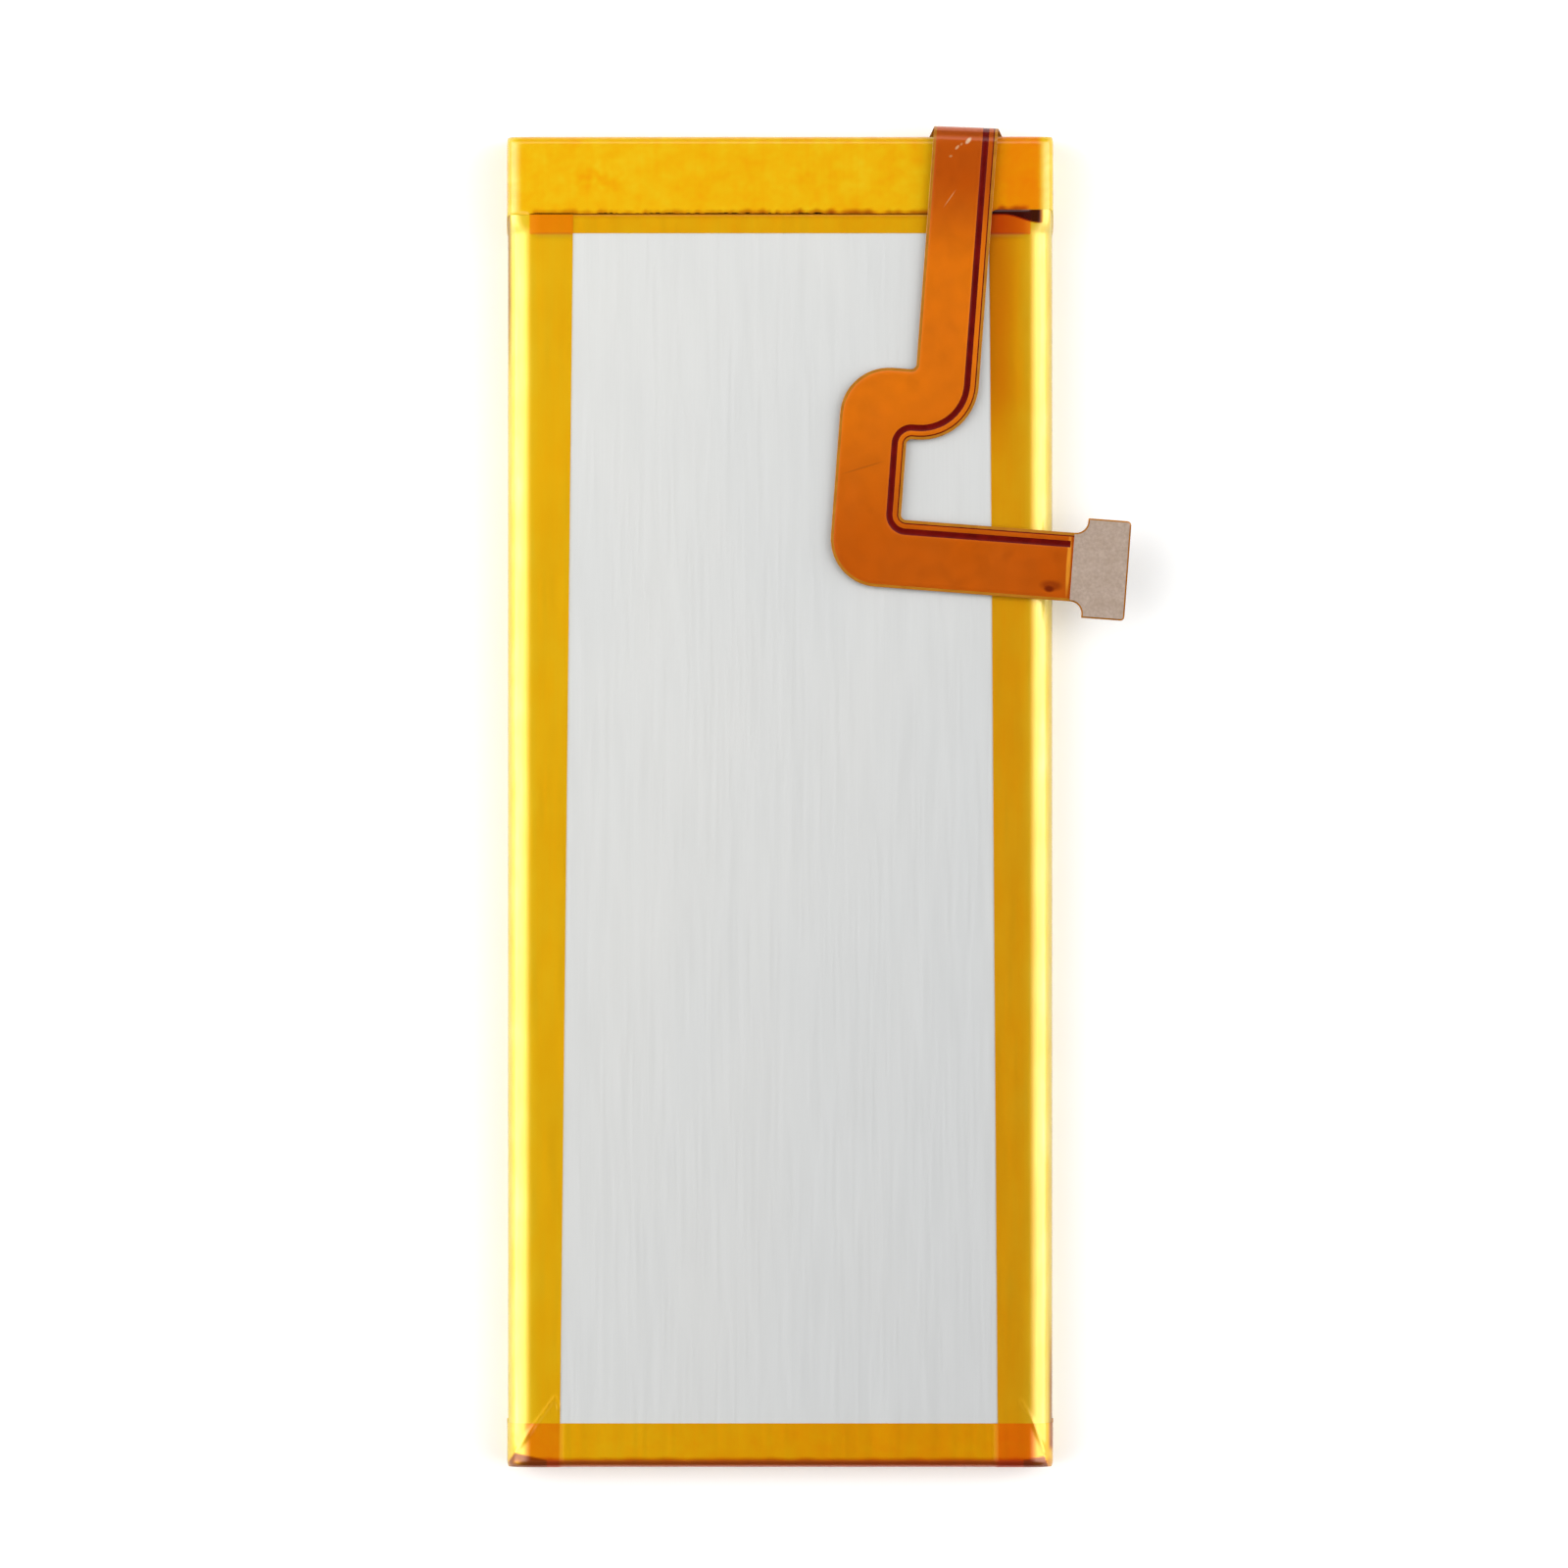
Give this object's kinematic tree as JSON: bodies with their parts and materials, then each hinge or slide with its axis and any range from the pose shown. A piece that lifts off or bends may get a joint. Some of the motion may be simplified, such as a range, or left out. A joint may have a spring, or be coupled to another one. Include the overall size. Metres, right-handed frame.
{
  "type": "battery cell",
  "caption": "Slim rectangular lithium polymer pouch cell edged with amber tape, with a taped protection board head and an angled flex circuit ending in a plug.",
  "frame": {"origin": "middle of the pouch's bare back face", "axes": "+X across the cell's width, +Y along its length towards the taped head, +Z through its thickness, out of the front face"},
  "size_m": [0.047, 0.1008, 0.0046],
  "materials": {
    "pouch_foil": "fine brushed, under a clear nylon skin",
    "amber_tape": "clear amber polyimide film, glossy",
    "white_plastic": "moulded, matt",
    "foam": "cut foam",
    "circuit_board": "solder mask",
    "aluminium_tab": "rolled strip",
    "nickel": "rolled nickel strip",
    "sealant_film": "translucent film",
    "flex_film": "amber cover film over copper, satin",
    "stiffener_steel": "matt rolled sheet",
    "plug_plastic": "moulded",
    "gold_contact": "gold plated",
    "solder": "tin solder, bright",
    "package_plastic": "moulded epoxy",
    "chip_ceramic": "fired ceramic with tinned ends"
  },
  "bodies": {
    "root": {"cell_pouch": "pouch_foil", "shoulder_tape": "amber_tape", "left_edge_tape": "amber_tape", "right_edge_tape": "amber_tape", "tail_tape": "amber_tape", "head_tape": "amber_tape", "board_cover": "white_plastic", "foam_pad": "foam", "terrace_insulator": "amber_tape", "protection_board": "circuit_board", "positive_tab": "aluminium_tab", "negative_tab": "nickel", "positive_tab_sealant": "sealant_film", "negative_tab_sealant": "sealant_film", "positive_weld_plate": "nickel", "negative_weld_plate": "nickel", "flex_circuit": "flex_film", "flex_stiffener": "stiffener_steel", "connector_housing": "plug_plastic", "signal_contacts": "gold_contact", "power_contacts": "gold_contact", "flex_solder_joints": "solder", "dual_mosfet": "package_plastic", "protection_ic": "package_plastic", "sense_resistor": "chip_ceramic", "chip_fuse": "chip_ceramic", "thermistor": "chip_ceramic", "filter_capacitor": "chip_ceramic", "filter_resistor": "chip_ceramic", "id_resistor": "chip_ceramic"}
  },
  "joints": []
}
